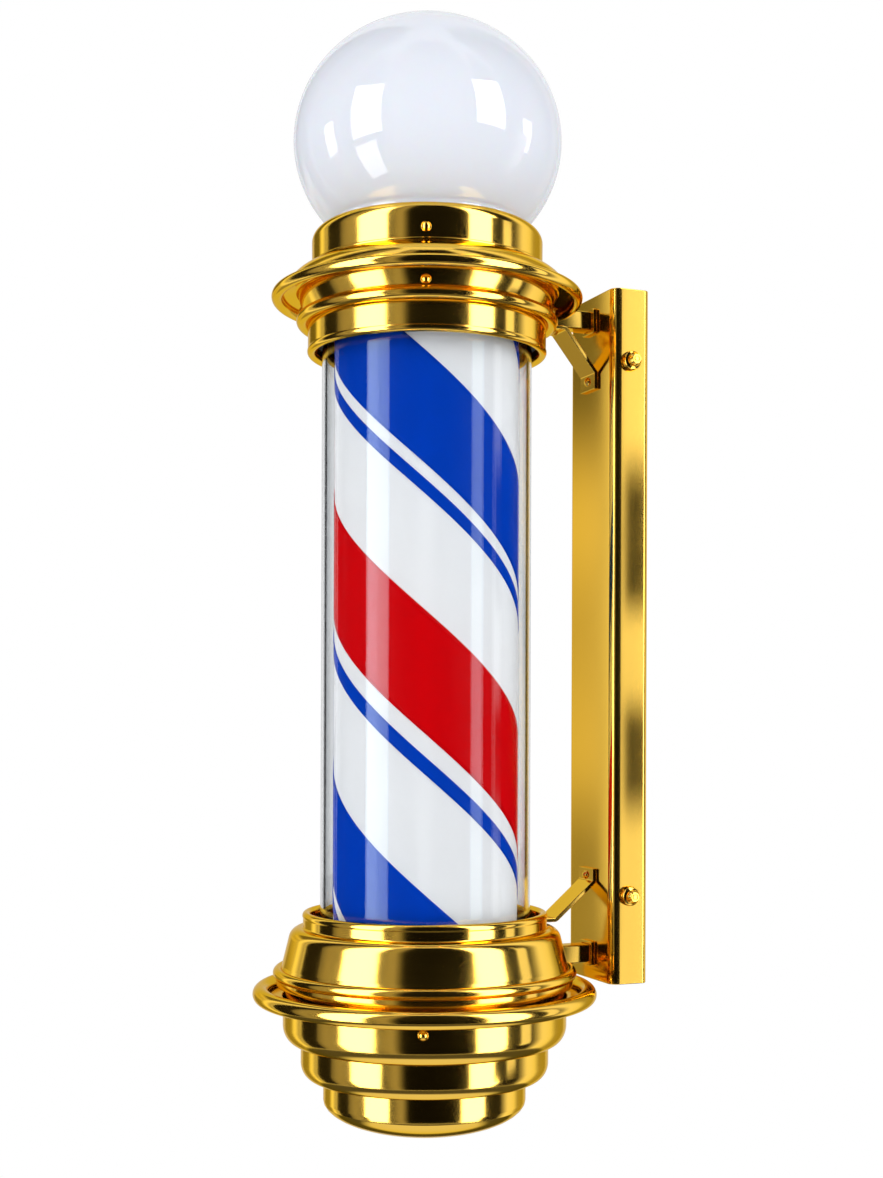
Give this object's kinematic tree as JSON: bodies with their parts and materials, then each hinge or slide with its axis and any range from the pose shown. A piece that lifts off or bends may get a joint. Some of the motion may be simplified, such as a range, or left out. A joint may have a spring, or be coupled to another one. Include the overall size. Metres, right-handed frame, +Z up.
{
  "type": "wall-mounted barber pole",
  "caption": "Lit wall-hung barber pole: white globe lamp on a gold crown, striped drum turning in a clear tube, stepped gold base, folded wall bracket.",
  "frame": {"origin": "middle of the wall plate's back face, on the wall", "axes": "+Z up along the pole, -Y away from the wall, +X to the right when facing the wall"},
  "size_m": [0.2128, 0.2464, 0.687],
  "materials": {
    "polished_gold": "mirror-polished gold-coloured plate",
    "zinc_steel": "zinc-plated steel",
    "black_rubber": "matte",
    "opal_glass": "glossy opal white, lets light through but is not see-through",
    "clear_tube": "clear, polished",
    "white_plastic": "semi-gloss",
    "aluminium": "mill finish",
    "light_strip": "yellow-white light strip",
    "white_drum": "smooth translucent white",
    "red_film": "glossy film",
    "blue_film": "glossy film"
  },
  "bodies": {
    "frame": {"wall_plate": "zinc_steel", "bracket_channel": "polished_gold", "side_cup_washers": "polished_gold", "side_screws": "polished_gold", "upper_arm": "polished_gold", "lower_arm": "polished_gold", "arm_collars": "polished_gold", "arm_pins": "zinc_steel", "upper_brace": "polished_gold", "lower_brace": "polished_gold", "brace_screws": "polished_gold", "brace_nuts": "zinc_steel", "cable_grommet": "black_rubber", "crown_ring": "polished_gold", "globe_holder": "polished_gold", "crown_screws": "polished_gold", "top_plate": "zinc_steel", "top_posts": "zinc_steel", "top_plate_screws": "zinc_steel", "arm_tie_screws": "zinc_steel", "globe": "opal_glass", "globe_gasket": "black_rubber", "globe_screws": "polished_gold", "lamp_socket": "white_plastic", "bulb_glass": "opal_glass", "bulb_cap": "zinc_steel", "tube_seal_top": "black_rubber", "clear_tube": "clear_tube", "tube_seal_bottom": "black_rubber", "lamp_stem": "zinc_steel", "stem_nuts": "zinc_steel", "light_carrier": "aluminium", "light_strips": "light_strip", "base_housing": "polished_gold", "base_bowl": "polished_gold", "bowl_screws": "polished_gold", "motor_plate": "zinc_steel", "motor_posts": "zinc_steel", "motor_plate_screws": "zinc_steel", "gear_motor": "zinc_steel", "motor_screws": "zinc_steel", "power_supply": "white_plastic", "supply_screws": "zinc_steel", "terminal_block": "white_plastic"},
    "drum": {"drum_tube": "white_drum", "red_stripe": "red_film", "blue_stripe": "blue_film", "thin_stripes": "blue_film", "drum_top_cap": "white_drum", "drum_bush": "white_plastic", "drum_bottom_cap": "white_drum", "drum_cap_screws": "zinc_steel", "drive_hub": "zinc_steel", "hub_screws": "zinc_steel", "motor_shaft": "zinc_steel"}
  },
  "joints": [
    {"name": "drum_spin", "type": "hinge", "parent": "frame", "child": "drum", "pos_m": [0, -0.14, 0], "axis": [0, 0, 1], "continuous": true}
  ]
}
